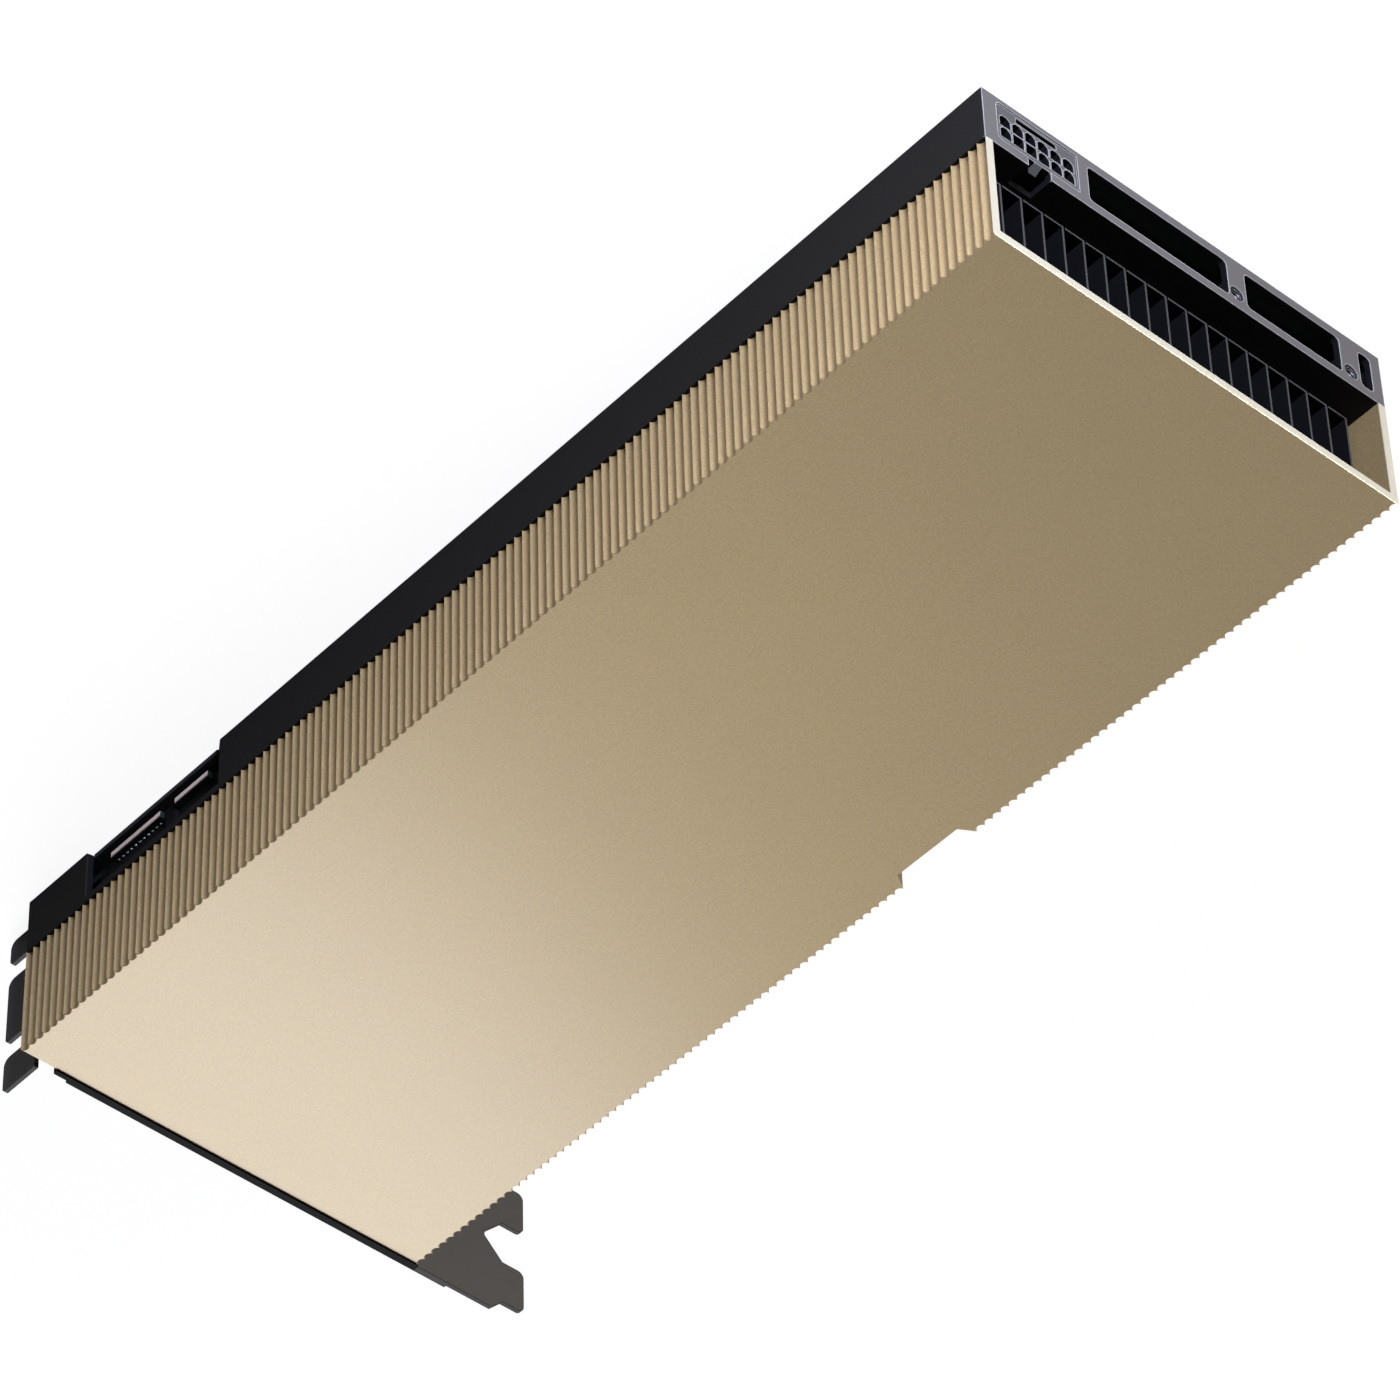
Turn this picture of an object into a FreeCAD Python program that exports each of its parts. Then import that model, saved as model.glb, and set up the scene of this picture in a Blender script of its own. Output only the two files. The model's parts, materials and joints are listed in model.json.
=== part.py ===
"""Passive accelerator card: a double-width plug-in card cooled by the air that a server blows through it.

A black cast frame carries the circuit board and the backplate below it, and a folded fin stack
above it. A fluted aluminium cover makes the air duct over the fins, a steel bracket closes one
end, and the power connector looks out of the frame's tail wall at the other.

The card lies on its backplate. X runs from the bracket to the tail, Y from the slot edge to the
top edge and Z from the backplate to the cover's face. Lengths are in millimetres.
"""
import FreeCAD, Part
import os
from math import asin, atan2, cos, degrees, radians, sin

V = FreeCAD.Vector

# Body of the card
body_length = 267.0
body_height = 97.4
body_thickness = 38.07
frame_height = 13.0
frame_wall = 1.45
frame_roof = 1.6
seat_gap = 0.1
loose_gap = 0.3
cut_over = 1.0
same_place = 1e-6

# Fluted cover
cover_wall = 1.75
cover_face = 1.75
flute_pitch = 2.17
flute_depth = 0.8
flute_facets = 3
cover_boss_length = 5.5
cover_boss_drop = 6.2

# Clearance for the slot's latch, cut into the slot edge of the cover and the frame
notch_start = 139.3
notch_end = 159.2
notch_depth = 3.2
notch_slant = 1.9

# Folded fins
fin_sheet = 0.45
fin_pitch = 4.97
fin_edge_gap = 1.65
fin_fold_gap = 0.35
fin_start = 6.5
fin_recess = 6.25

# Backplate
plate_floor = 1.1
film_thickness = 0.1
film_margin = 12.5

# Circuit board
board_underside = 2.67
board_thickness = 1.57
board_top_margin = 3.5
board_low_edge = -7.6
slot_edge_start = 12.0
finger_start = 47.3
finger_end = 131.3
finger_tip = -15.85
finger_chamfer = 0.4
key_centre = 59.0
key_width = 1.9
latch_gap_width = 5.2
latch_gap_top = -4.0
hook_width = 8.0
hook_tip = -12.6
tail_board_gap = 4.0

# Bridge tabs on the top edge, in the frame's side recess
recess_start = 17.9
recess_end = 58.3
recess_slants = (0.3, 2.1)
recess_rim_drop = 1.3
tab_edge = 95.6
tab_spans = ((23.1, 38.3), (42.5, 52.6))
insert_thickness = 1.2
insert_rib_width = 2.8
insert_rib_reach = 1.0

# Processor package and the cooler over it
processor_shift = 4.5
processor_rise = 2.175
substrate_side = 45.0
substrate_thickness = 1.3
stiffener_width = 4.0
stiffener_thickness = 0.5
die_length = 27.0
die_width = 23.0
die_thickness = 0.8
paste_thickness = 0.1
chamber_ear = 6.0
chamber_plate = 3.4
land_margin = 4.0

# Memory chips, in a ring round the processor
chip_length = 14.0
chip_width = 12.0
chip_height = 1.2
chip_pitch = 16.0
chip_pair_pitch = 18.0
chip_gap = 4.5
chip_edge_gap = 1.0

# Power stages, chokes and capacitors
stage_offset = 54.0
stage_length = 6.0
stage_width = 5.0
stage_height = 0.9
stage_pitch = 9.0
stage_margin = 2.0
pad_thickness = 1.0
choke_side = 7.4
choke_height = 4.2
choke_offset = 9.0
capacitor_radius = 3.15
capacitor_height = 5.5
capacitor_pitch = 18.0
capacitor_count = 3
capacitor_offset = 19.0
ceramic_size = (1.6, 3.2, 1.4)
ceramic_pitch = 8.0
ceramic_count = 6
ceramic_offsets = (34.0, 39.0)
bracket_end_chips = ((30.0, 30.0, 9.0), (30.0, 52.0, 7.0))
stage_chips = ((-38.0, 70.0, 6.0), (45.0, 30.0, 8.0))
control_height = 1.0
input_choke_offset = 46.0
input_choke_y = 66.0
input_choke_size = (11.0, 10.0, 5.0)

# Tail wall: windows, bracket holes and power connector
window_spans = ((2.5, 5.6), (10.4, 34.1), (38.5, 72.4))
window_low = 2.1
window_high = 10.95
window_radius = 1.0
tail_hole_y = (8.0, 36.5)
tail_hole_z = 9.2
tail_hole_radius = 1.25
tail_hole_chamfer = 0.45
tail_hole_depth = 6.0
tail_boss_low = 6.4
connector_centre = 84.45
connector_width = 19.1
connector_low = 1.3
connector_high = 10.7
connector_length = 13.3
connector_recess = 0.2
connector_radius = 1.0
cell_columns = 6
cell_pitch = 3.0
cell_width = 2.6
cell_height = 2.75
cell_row_z = (5.15, 8.2)
cell_depth = 9.5
cell_chamfer = 0.7
square_cells = ((3, 1), (4, 1))
sense_width = 9.6
sense_low = 2.0
sense_high = 3.3
sense_count = 4
sense_pitch = 2.0
pin_side = 0.7
pin_setback = 2.5
pin_tail = 3.0
catch_width = 1.7
catch_length = 1.8
catch_rise = 1.0
latch_notch_width = 5.4
latch_notch_depth = 5.3

# Bracket
bracket_sheet = 0.95
bracket_low = 0.6
bracket_high = 38.5
bracket_tip = -27.1
bracket_top = 93.0
bend_radius = 0.5
relief_height = 4.2
relief_depth = 2.5
flange_reach = 11.4
flange_low_corner = 1.8
flange_high_corner = 0.8
flange_notch_z = (7.9, 28.22)
flange_notch_width = 4.42
flange_notch_reach = 6.4
tongue_centres = (10.3, 30.62)
tongue_width = 10.2
tongue_corner = 1.5
tongue_root = -21.6
crotch_top = -17.0
crotch_width = 1.0
lip_reach = 0.55
lip_low = -7.8
lip_high = 85.5
vent_start = 17.0
vent_pitch = 5.0
vent_count = 14
vent_width = 3.2
vent_low = 15.5
vent_high = 34.5
vent_corner = 1.0

# Screws
screw_radius = 1.2
thread_gap = 0.05
shank_gap = 0.15
head_radius = 2.2
head_height = 1.2
screw_boss_side = 6.0
plate_screw_start = 10.0
plate_screw_offset = 27.0
plate_screw_low = 7.5
plate_screw_high = (11.4, 9.4)
plate_screw_length = 8.2
retention_radius = (24.5, 26.0)
retention_plate_thickness = 0.75
retention_arm_width = 7.0
retention_centre_side = 30.0
retention_head_height = 0.6
retention_grip = 2.0
bracket_screw_y = (11.5, 86.0)
bracket_screw_frame_z = 8.2
bracket_screw_cover_z = 33.0
bracket_screw_length = 4.5
bracket_boss_width = 6.0

# Levels that follow from the sizes above
duct_top = body_thickness - cover_face
roof_underside = frame_height - frame_roof
board_top = board_underside + board_thickness
substrate_top = board_top + substrate_thickness
die_top = substrate_top + die_thickness
pedestal_level = die_top + paste_thickness
chip_top = board_top + chip_height
chamber_underside = roof_underside - chamber_plate
board_inset = frame_wall + loose_gap
board_end = body_length - frame_wall - tail_board_gap
board_upper_edge = body_height - board_top_margin
fin_end = body_length - fin_recess
processor_x = body_length / 2 + processor_shift
processor_y = (board_inset + board_upper_edge) / 2 + processor_rise
chip_ring = substrate_side / 2 + chip_gap + chip_width / 2
pedestal_side = 2 * (chip_ring + chip_width / 2 + chip_edge_gap)
chamber_length = pedestal_side + 2 * chamber_ear
chamber_width = pedestal_side
stage_room = 2 * (board_upper_edge - processor_y - stage_margin) - choke_side
stage_count = int(stage_room / stage_pitch) + 1
stage_columns = (processor_x - stage_offset, processor_x + stage_offset)
ceramic_rows = [stage_columns[1] + offset for offset in ceramic_offsets]
plate_screw_columns = (plate_screw_start, stage_columns[1] + plate_screw_offset)
plate_screw_places = [(x, plate_screw_low) for x in plate_screw_columns]
plate_screw_places += [(x, body_height - drop) for x, drop in zip(plate_screw_columns, plate_screw_high)]
connector_face = body_length - connector_recess
connector_back = connector_face - connector_length
connector_sides = (connector_centre - connector_width / 2, connector_centre + connector_width / 2)


def box(x0, x1, y0, y1, z0, z1):
    return Part.makeBox(x1 - x0, y1 - y0, z1 - z0, V(x0, y0, z0))


def rod(x, y, z0, z1, radius):
    return Part.makeCylinder(radius, z1 - z0, V(x, y, z0))


def block(x, y, length, width, z0, z1):
    return box(x - length / 2, x + length / 2, y - width / 2, y + width / 2, z0, z1)


def prism(points, z0, z1):
    """Upright solid on a closed outline of (x, y) points."""
    corners = [V(x, y, z0) for x, y in points]
    face = Part.Face(Part.makePolygon(corners + corners[:1]))
    return face.extrude(V(0, 0, z1 - z0))


def cross_plate(points, x0, x1):
    """Plate that faces along X, on a closed outline of (y, z) points."""
    corners = [V(x0, y, z) for y, z in points]
    face = Part.Face(Part.makePolygon(corners + corners[:1]))
    return face.extrude(V(x1 - x0, 0, 0))


def cut_rectangle(y0, y1, z0, z1, cut):
    """Rectangle with cut corners, as (y, z) points."""
    return [(y0, z0 + cut), (y0 + cut, z0), (y1 - cut, z0), (y1, z0 + cut),
            (y1, z1 - cut), (y1 - cut, z1), (y0 + cut, z1), (y0, z1 - cut)]


def hex_head(centre, direction, height):
    """Six-sided screw head that stands on a seat at a centre point."""
    ring = [V(head_radius * cos(radians(60 * i)), head_radius * sin(radians(60 * i)), 0) for i in range(6)]
    head = Part.Face(Part.makePolygon(ring + ring[:1])).extrude(V(0, 0, height))
    head.Placement = FreeCAD.Placement(centre, FreeCAD.Rotation(V(0, 0, 1), direction))
    return head


def edges_along(shape, direction):
    found = []
    for edge in shape.Edges:
        start, end = edge.Vertexes[0].Point, edge.Vertexes[-1].Point
        run = end - start
        if run.Length > 0 and abs(run.dot(direction)) > 0.999 * run.Length:
            found.append(edge)
    return found


def rounded_box(x0, x1, y0, y1, z0, z1, radius, direction):
    """Box whose edges along one direction are rounded."""
    plain = box(x0, x1, y0, y1, z0, z1)
    return plain.makeFillet(radius, edges_along(plain, direction))


def fuse(shapes):
    whole = shapes[0].multiFuse(shapes[1:])
    return whole.removeSplitter()


def column_places(centre, pitch, count):
    first = centre - pitch * (count - 1) / 2
    return [first + pitch * i for i in range(count)]


def notch_outline(inset):
    """Latch clearance as (x, y) points, at a wall inset from the slot edge."""
    return [
        (notch_start - inset, inset),
        (notch_start + notch_slant - inset, notch_depth + inset),
        (notch_end - notch_slant + inset, notch_depth + inset),
        (notch_end + inset, inset),
    ]


def body_outline(inset, x0, x1):
    """Plan of the body, inset from its long sides and the latch clearance."""
    top = body_height - inset
    return [(x0, inset)] + notch_outline(inset) + [(x1, inset), (x1, top), (x0, top)]


def fluted_run(x0, x1, y, inward):
    """Row of round grooves that meet in sharp cusps on the line at y, as points on their arcs."""
    count = max(1, round(abs(x1 - x0) / flute_pitch))
    step = (x1 - x0) / count
    half = abs(step) / 2
    radius = (half ** 2 + flute_depth ** 2) / (2 * flute_depth)
    spread = asin(half / radius)
    heading = step / abs(step)
    points = []
    for i in range(count):
        middle = x0 + (i + 0.5) * step
        for k in range(flute_facets):
            angle = spread * (2 * k / flute_facets - 1)
            rise = radius * (cos(angle) - cos(spread))
            points.append((middle + heading * radius * sin(angle), y + inward * rise))
    return points


def bracket_screw_sites():
    """Places of the bracket's screws as (y, z, part that the screw holds in)."""
    sites = [(y, bracket_screw_frame_z, "frame") for y in bracket_screw_y]
    return sites + [(y, bracket_screw_cover_z, "cover") for y in bracket_screw_y]


def bracket_screw_holes(holder):
    holes = []
    for y, z, part in bracket_screw_sites():
        if part == holder:
            depth = bracket_screw_length + loose_gap
            holes.append(Part.makeCylinder(screw_radius + thread_gap, depth, V(0, y, z), V(1, 0, 0)))
    return holes


def heatsink_cover():
    """U-shaped cover with fluted sides, open at both ends."""
    outline = fluted_run(0, notch_start, 0, 1) + notch_outline(0)[:3]
    outline += fluted_run(notch_end, body_length, 0, 1) + [(body_length, 0)]
    outline += fluted_run(body_length, 0, body_height, -1) + [(0, body_height)]
    shell = prism(outline, frame_height, body_thickness)
    inside = body_outline(cover_wall, -cut_over, body_length + cut_over)
    duct = prism(inside, frame_height - cut_over, duct_top)
    shell = shell.cut(duct)
    bosses = []
    for y in bracket_screw_y:
        half = bracket_boss_width / 2
        bosses.append(box(0, cover_boss_length, y - half, y + half, duct_top - cover_boss_drop, duct_top))
    return fuse([shell] + bosses).cut(bracket_screw_holes("cover"))


def fin(y, fold_end):
    """One folded fin: a web with a fold along its foot and one along its top."""
    profile = [
        (y, frame_height), (fold_end, frame_height), (fold_end, frame_height + fin_sheet),
        (y + fin_sheet, frame_height + fin_sheet), (y + fin_sheet, duct_top - fin_sheet),
        (fold_end, duct_top - fin_sheet), (fold_end, duct_top), (y, duct_top),
    ]
    return cross_plate(profile, fin_start, fin_end)


def fin_stack():
    far_side = body_height - cover_wall - loose_gap
    clearance = prism(notch_outline(cover_wall + loose_gap), frame_height - cut_over, body_thickness)
    fins = []
    y = cover_wall + fin_edge_gap
    while y + 2 * fin_sheet < far_side:
        fold_end = min(y + fin_pitch - fin_fold_gap, far_side)
        fins.append(fin(y, fold_end).cut(clearance))
        y += fin_pitch
    return Part.makeCompound(fins)


def main_frame():
    """Cast frame: roof, side walls and tail wall, open below for the board and the backplate."""
    frame = prism(body_outline(0, 0, body_length), 0, frame_height)
    inside = body_outline(frame_wall, frame_wall, body_length - frame_wall)
    frame = frame.cut(prism(inside, -cut_over, roof_underside))
    frame = fuse([frame] + frame_bosses())
    cuts = [chamber_window(), side_recess(), slot_edge_gap(), connector_hole()]
    cuts += tail_windows() + tail_holes() + frame_screw_holes() + bracket_screw_holes("frame")
    return frame.cut(cuts)


def frame_bosses():
    bosses = []
    for x, y in plate_screw_places:
        bosses.append(block(x, y, screw_boss_side, screw_boss_side, board_top, roof_underside))
    for y in tail_hole_y:
        low = max(end for start, end in window_spans if end < y)
        high = min(start for start, end in window_spans if start > y)
        bosses.append(box(body_length - tail_hole_depth, body_length - frame_wall, low, high,
                          tail_boss_low, roof_underside))
    for y in bracket_screw_y:
        half = bracket_boss_width / 2
        bosses.append(box(frame_wall, bracket_screw_length + frame_wall, y - half, y + half,
                          board_top + loose_gap, roof_underside))
    stage_span = stage_pitch * (stage_count - 1) + stage_width
    for x in stage_columns:
        foot = board_top + stage_height + pad_thickness
        bosses.append(block(x, processor_y, stage_length, stage_span, foot, roof_underside))
    return bosses


def chamber_land(gap):
    """Raised land of the vapour chamber that fills the window in the frame's roof."""
    side = pedestal_side - 2 * land_margin + 2 * gap
    return side, side


def chamber_window():
    length, width = chamber_land(seat_gap)
    return block(processor_x, processor_y, length, width, roof_underside - cut_over, frame_height + cut_over)


def side_recess():
    """Opening in the top edge for the bridge tabs, with slanted ends."""
    inner = body_height - frame_wall - cut_over
    outer = body_height + cut_over
    start_slant, end_slant = recess_slants
    start_run, end_run = (cut_over * slant / frame_wall for slant in recess_slants)
    points = [
        (recess_start - start_run, outer), (recess_end + end_run, outer),
        (recess_end - end_slant - end_run, inner), (recess_start + start_slant + start_run, inner),
    ]
    return prism(points, -cut_over, roof_underside)


def slot_edge_gap():
    """Gap under the slot edge of the frame, where the board's fingers and hook come out."""
    start = slot_edge_start - loose_gap
    end = notch_end + frame_wall + loose_gap
    return box(start, end, -cut_over, notch_depth + frame_wall + loose_gap, -cut_over, board_top + loose_gap)


def socket_block(x0, x1, gap):
    """Block on the socket's outline, whose two corners toward the card's top edge are rounded."""
    plain = box(x0, x1, connector_sides[0] - gap, connector_sides[1] + gap,
                connector_low - gap, connector_high + gap)
    corners = [e for e in edges_along(plain, V(1, 0, 0)) if e.CenterOfMass.y > connector_centre]
    return plain.makeFillet(connector_radius, corners)


def connector_hole():
    hole = socket_block(connector_back - loose_gap, body_length + cut_over, seat_gap)
    half = latch_notch_width / 2
    notch = box(body_length - latch_notch_depth, body_length + cut_over, connector_centre - half,
                connector_centre + half, connector_high - loose_gap, frame_height + cut_over)
    return hole.fuse(notch)


def tail_windows():
    inner, outer = body_length - frame_wall - cut_over, body_length + cut_over
    return [rounded_box(inner, outer, start, end, window_low, window_high, window_radius, V(1, 0, 0))
            for start, end in window_spans]


def tail_holes():
    """Threaded holes for a server's tail bracket, each with a chamfered mouth."""
    tools = []
    for y in tail_hole_y:
        root = V(body_length - tail_hole_depth - cut_over, y, tail_hole_z)
        length = tail_hole_depth + 2 * cut_over
        tools.append(Part.makeCylinder(tail_hole_radius, length, root, V(1, 0, 0)))
        mouth = V(body_length - tail_hole_chamfer, y, tail_hole_z)
        tools.append(Part.makeCone(tail_hole_radius, tail_hole_radius + tail_hole_chamfer,
                                   tail_hole_chamfer, mouth, V(1, 0, 0)))
    return tools


def frame_screw_holes():
    depth = plate_screw_length + loose_gap
    return [rod(x, y, board_top - cut_over, depth, screw_radius + thread_gap) for x, y in plate_screw_places]


def backplate():
    """Flat lid with a rim under the side recess and a stand-off under the board at each screw."""
    inset = frame_wall + seat_gap
    plate = prism(body_outline(inset, inset, body_length - inset), 0, plate_floor)
    start_slant, end_slant = recess_slants
    rim = box(recess_start + start_slant + loose_gap, recess_end - end_slant - loose_gap,
              body_height - inset - cut_over, body_height - recess_rim_drop, 0, plate_floor)
    standoffs = [block(x, y, screw_boss_side, screw_boss_side, plate_floor, board_underside)
                 for x, y in plate_screw_places]
    holes = [rod(x, y, -cut_over, board_underside + cut_over, screw_radius + shank_gap)
             for x, y in plate_screw_places]
    sinks = [countersink(x, y) for x, y in plate_screw_places]
    return fuse([plate, rim] + standoffs).cut(holes + sinks)


def countersink(x, y):
    wide = head_radius + shank_gap
    narrow = screw_radius + shank_gap
    return Part.makeCone(wide, narrow, head_height, V(x, y, 0))


def backplate_screws():
    screws = []
    for x, y in plate_screw_places:
        head = Part.makeCone(head_radius, screw_radius, head_height, V(x, y, seat_gap))
        shank = rod(x, y, seat_gap + head_height, plate_screw_length, screw_radius)
        screws.append(head.fuse(shank))
    return Part.makeCompound(screws)


def insulating_film():
    """Film on the backplate, inside the rows of stand-offs."""
    margin = frame_wall + film_margin
    return box(margin, body_length - margin, margin, body_height - margin, plate_floor,
               plate_floor + film_thickness)


def circuit_board():
    low, tip = board_low_edge, finger_tip
    key_left, key_right = key_centre - key_width / 2, key_centre + key_width / 2
    hook_start = finger_end + latch_gap_width
    outline = [
        (board_inset, board_inset), (slot_edge_start, board_inset), (slot_edge_start, low),
        (finger_start, low), (finger_start, tip), (key_left, tip), (key_left, low),
        (key_right, low), (key_right, tip), (finger_end, tip), (finger_end, latch_gap_top),
        (hook_start, latch_gap_top), (hook_start, hook_tip), (hook_start + hook_width, hook_tip),
        (hook_start + hook_width, board_inset), (board_end, board_inset),
    ]
    notch_side = connector_sides[0] - loose_gap
    notch_back = connector_back - loose_gap
    outline += [(board_end, notch_side), (notch_back, notch_side), (notch_back, board_upper_edge)]
    for start, end in reversed(tab_spans):
        outline += [(end, board_upper_edge), (end, tab_edge), (start, tab_edge), (start, board_upper_edge)]
    outline += [(board_inset, board_upper_edge)]
    board = prism(outline, board_underside, board_top)
    tips = [e for e in edges_along(board, V(1, 0, 0)) if abs(e.CenterOfMass.y - tip) < same_place]
    board = board.makeChamfer(finger_chamfer, tips)
    holes = [rod(x, y, 0, frame_height, screw_radius + shank_gap)
             for x, y in plate_screw_places + retention_sites()]
    return board.cut(holes)


def bridge_cover_insert():
    """Moulded strip that closes the electronics bay behind the bridge tabs."""
    back = board_upper_edge - insert_thickness
    low = board_top
    high = roof_underside
    strip = box(recess_start, recess_end, back, board_upper_edge, low, high)
    rib_centre = (tab_spans[0][1] + tab_spans[1][0]) / 2
    rib = block(rib_centre, board_upper_edge + insert_rib_reach / 2, insert_rib_width, insert_rib_reach,
                board_underside, high)
    return fuse([strip, rib])


def processor_substrate():
    return block(processor_x, processor_y, substrate_side, substrate_side, board_top, substrate_top)


def processor_stiffener():
    """Flat metal ring on the rim of the substrate."""
    inner = substrate_side - 2 * stiffener_width
    top = substrate_top + stiffener_thickness
    ring = block(processor_x, processor_y, substrate_side, substrate_side, substrate_top, top)
    return ring.cut(block(processor_x, processor_y, inner, inner, substrate_top - cut_over, top + cut_over))


def processor_die():
    return block(processor_x, processor_y, die_length, die_width, substrate_top, die_top)


def thermal_paste():
    return block(processor_x, processor_y, die_length, die_width, die_top, pedestal_level)


def vapour_chamber():
    """Flat chamber under the frame's roof: a pedestal below, and a land through the roof's window
    that the fins are soldered to, so that the roof's rim is held between chamber and fins."""
    plate = block(processor_x, processor_y, chamber_length, chamber_width, chamber_underside, roof_underside)
    pedestal = block(processor_x, processor_y, pedestal_side, pedestal_side, pedestal_level,
                     chamber_underside)
    length, width = chamber_land(0)
    land = block(processor_x, processor_y, length, width, roof_underside, frame_height)
    top = pedestal_level + retention_grip + seat_gap
    holes = [rod(x, y, pedestal_level - cut_over, top, screw_radius + thread_gap)
             for x, y in retention_sites()]
    return fuse([plate, pedestal, land]).cut(holes)


def retention_sites():
    along, across = retention_radius
    return [(processor_x + sx * along, processor_y + sy * across) for sx in (-1, 1) for sy in (-1, 1)]


def retention_plate():
    """Cross-shaped leaf spring on the back of the board, behind the processor."""
    low = board_underside - retention_plate_thickness
    places = retention_sites()
    centre = V(processor_x, processor_y, low)
    side = retention_centre_side
    pieces = [block(processor_x, processor_y, side, side, low, board_underside)]
    for x, y in places[:2]:
        reach = V(x, y, low) - centre
        half = retention_arm_width / 2
        end = reach.Length + half
        arm = box(-end, end, -half, half, 0, retention_plate_thickness)
        arm.rotate(V(0, 0, 0), V(0, 0, 1), degrees(atan2(reach.y, reach.x)))
        arm.translate(centre)
        pieces.append(arm)
    holes = [rod(x, y, low - cut_over, board_top, screw_radius + shank_gap) for x, y in places]
    return fuse(pieces).cut(holes)


def retention_screws():
    seat = board_underside - retention_plate_thickness
    screws = []
    for x, y in retention_sites():
        head = hex_head(V(x, y, seat), V(0, 0, -1), retention_head_height)
        shank = rod(x, y, seat, pedestal_level + retention_grip, screw_radius)
        screws.append(head.fuse(shank))
    return Part.makeCompound(screws)


def memory_places():
    """Centres of the memory chips as (x, y, size along X, size along Y)."""
    places = []
    for side in (-1, 1):
        for y in column_places(processor_y, chip_pitch, 4):
            places.append((processor_x + side * chip_ring, y, chip_width, chip_length))
    for side in (-1, 1):
        for x in column_places(processor_x, chip_pair_pitch, 2):
            places.append((x, processor_y + side * chip_ring, chip_length, chip_width))
    return places


def memory_chip(place):
    x, y, length, width = place
    return block(x, y, length, width, board_top, chip_top)


def memory_pads():
    return Part.makeCompound([block(x, y, length, width, chip_top, pedestal_level)
                              for x, y, length, width in memory_places()])


def stage_places():
    return [(x, y) for x in stage_columns for y in column_places(processor_y, stage_pitch, stage_count)]


def power_stages():
    top = board_top + stage_height
    return Part.makeCompound([block(x, y, stage_length, stage_width, board_top, top)
                              for x, y in stage_places()])


def power_stage_pads():
    low = board_top + stage_height
    span = stage_pitch * (stage_count - 1) + stage_width
    return Part.makeCompound([block(x, processor_y, stage_length, span, low, low + pad_thickness)
                              for x in stage_columns])


def outward(x):
    """Direction along X that leads away from the processor."""
    return -1 if x < processor_x else 1


def chokes():
    return Part.makeCompound([block(x + outward(x) * choke_offset, y, choke_side, choke_side,
                                    board_top, board_top + choke_height)
                              for x, y in stage_places()])


def polymer_capacitors():
    cans = []
    for x in stage_columns:
        place = x + outward(x) * capacitor_offset
        for y in column_places(processor_y, capacitor_pitch, capacitor_count):
            cans.append(rod(place, y, board_top, board_top + capacitor_height, capacitor_radius))
    return Part.makeCompound(cans)


def ceramic_capacitors():
    length, width, height = ceramic_size
    return Part.makeCompound([block(x, y, length, width, board_top, board_top + height)
                              for x in ceramic_rows
                              for y in column_places(processor_y, ceramic_pitch, ceramic_count)])


def control_chips():
    places = list(bracket_end_chips)
    places += [(column + offset, y, side) for column, (offset, y, side) in zip(stage_columns, stage_chips)]
    return Part.makeCompound([block(x, y, side, side, board_top, board_top + control_height)
                              for x, y, side in places])


def input_choke():
    length, width, height = input_choke_size
    return block(stage_columns[1] + input_choke_offset, input_choke_y, length, width, board_top,
                 board_top + height)


def cell_outline(y, z, square):
    """Outline of one socket cell as (y, z) points: square, or with its two lower corners cut."""
    left, right = y - cell_width / 2, y + cell_width / 2
    low, high = z - cell_height / 2, z + cell_height / 2
    if square:
        return [(left, low), (right, low), (right, high), (left, high)]
    cut = cell_chamfer
    return [(left, low + cut), (left + cut, low), (right - cut, low), (right, low + cut),
            (right, high), (left, high)]


def cell_places():
    """Middles of the socket's cells as (y, z, whether the cell is square)."""
    places = []
    for row, z in enumerate(cell_row_z):
        for column, y in enumerate(column_places(connector_centre, cell_pitch, cell_columns)):
            places.append((y, z, (column, row) in square_cells))
    return places


def power_connector_housing():
    """Socket with two rows of power cells, a slot for the sense contacts and a catch for the latch."""
    body = socket_block(connector_back, connector_face, 0)
    cells = [cross_plate(cell_outline(y, z, square), connector_face - cell_depth, connector_face + cut_over)
             for y, z, square in cell_places()]
    half = sense_width / 2
    cells.append(box(connector_face - cell_depth, connector_face + cut_over, connector_centre - half,
                     connector_centre + half, sense_low, sense_high))
    root = connector_high - cut_over
    back = connector_face - catch_length
    wedge = [(connector_face, root), (connector_face, connector_high), (back, connector_high + catch_rise),
             (back, root)]
    corners = [V(x, connector_centre - catch_width / 2, z) for x, z in wedge]
    catch = Part.Face(Part.makePolygon(corners + corners[:1])).extrude(V(0, catch_width, 0))
    return fuse([body, catch]).cut(cells + connector_pins())


def connector_pins():
    """Square contacts: straight in the cells, with a leg behind the socket down to the board."""
    pins = []
    half = pin_side / 2
    front = connector_face - pin_setback
    for y, z, square in cell_places():
        back = connector_back - pin_tail
        if z > cell_row_z[0]:
            back -= pin_tail
        pin = box(back, front, y - half, y + half, z - half, z + half)
        leg = box(back, back + pin_side, y - half, y + half, board_top, z + half)
        pins.append(fuse([pin, leg]))
    return pins


def power_connector_pins():
    return Part.makeCompound(connector_pins())


def sense_contacts():
    """Thin contacts of the sense row, seated on the floor of their slot."""
    half = pin_side / 4
    back, front = connector_face - cell_depth, connector_face - pin_setback
    return Part.makeCompound([box(back, front, y - half, y + half, sense_low, sense_low + 2 * half)
                              for y in column_places(connector_centre, sense_pitch, sense_count)])


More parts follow.
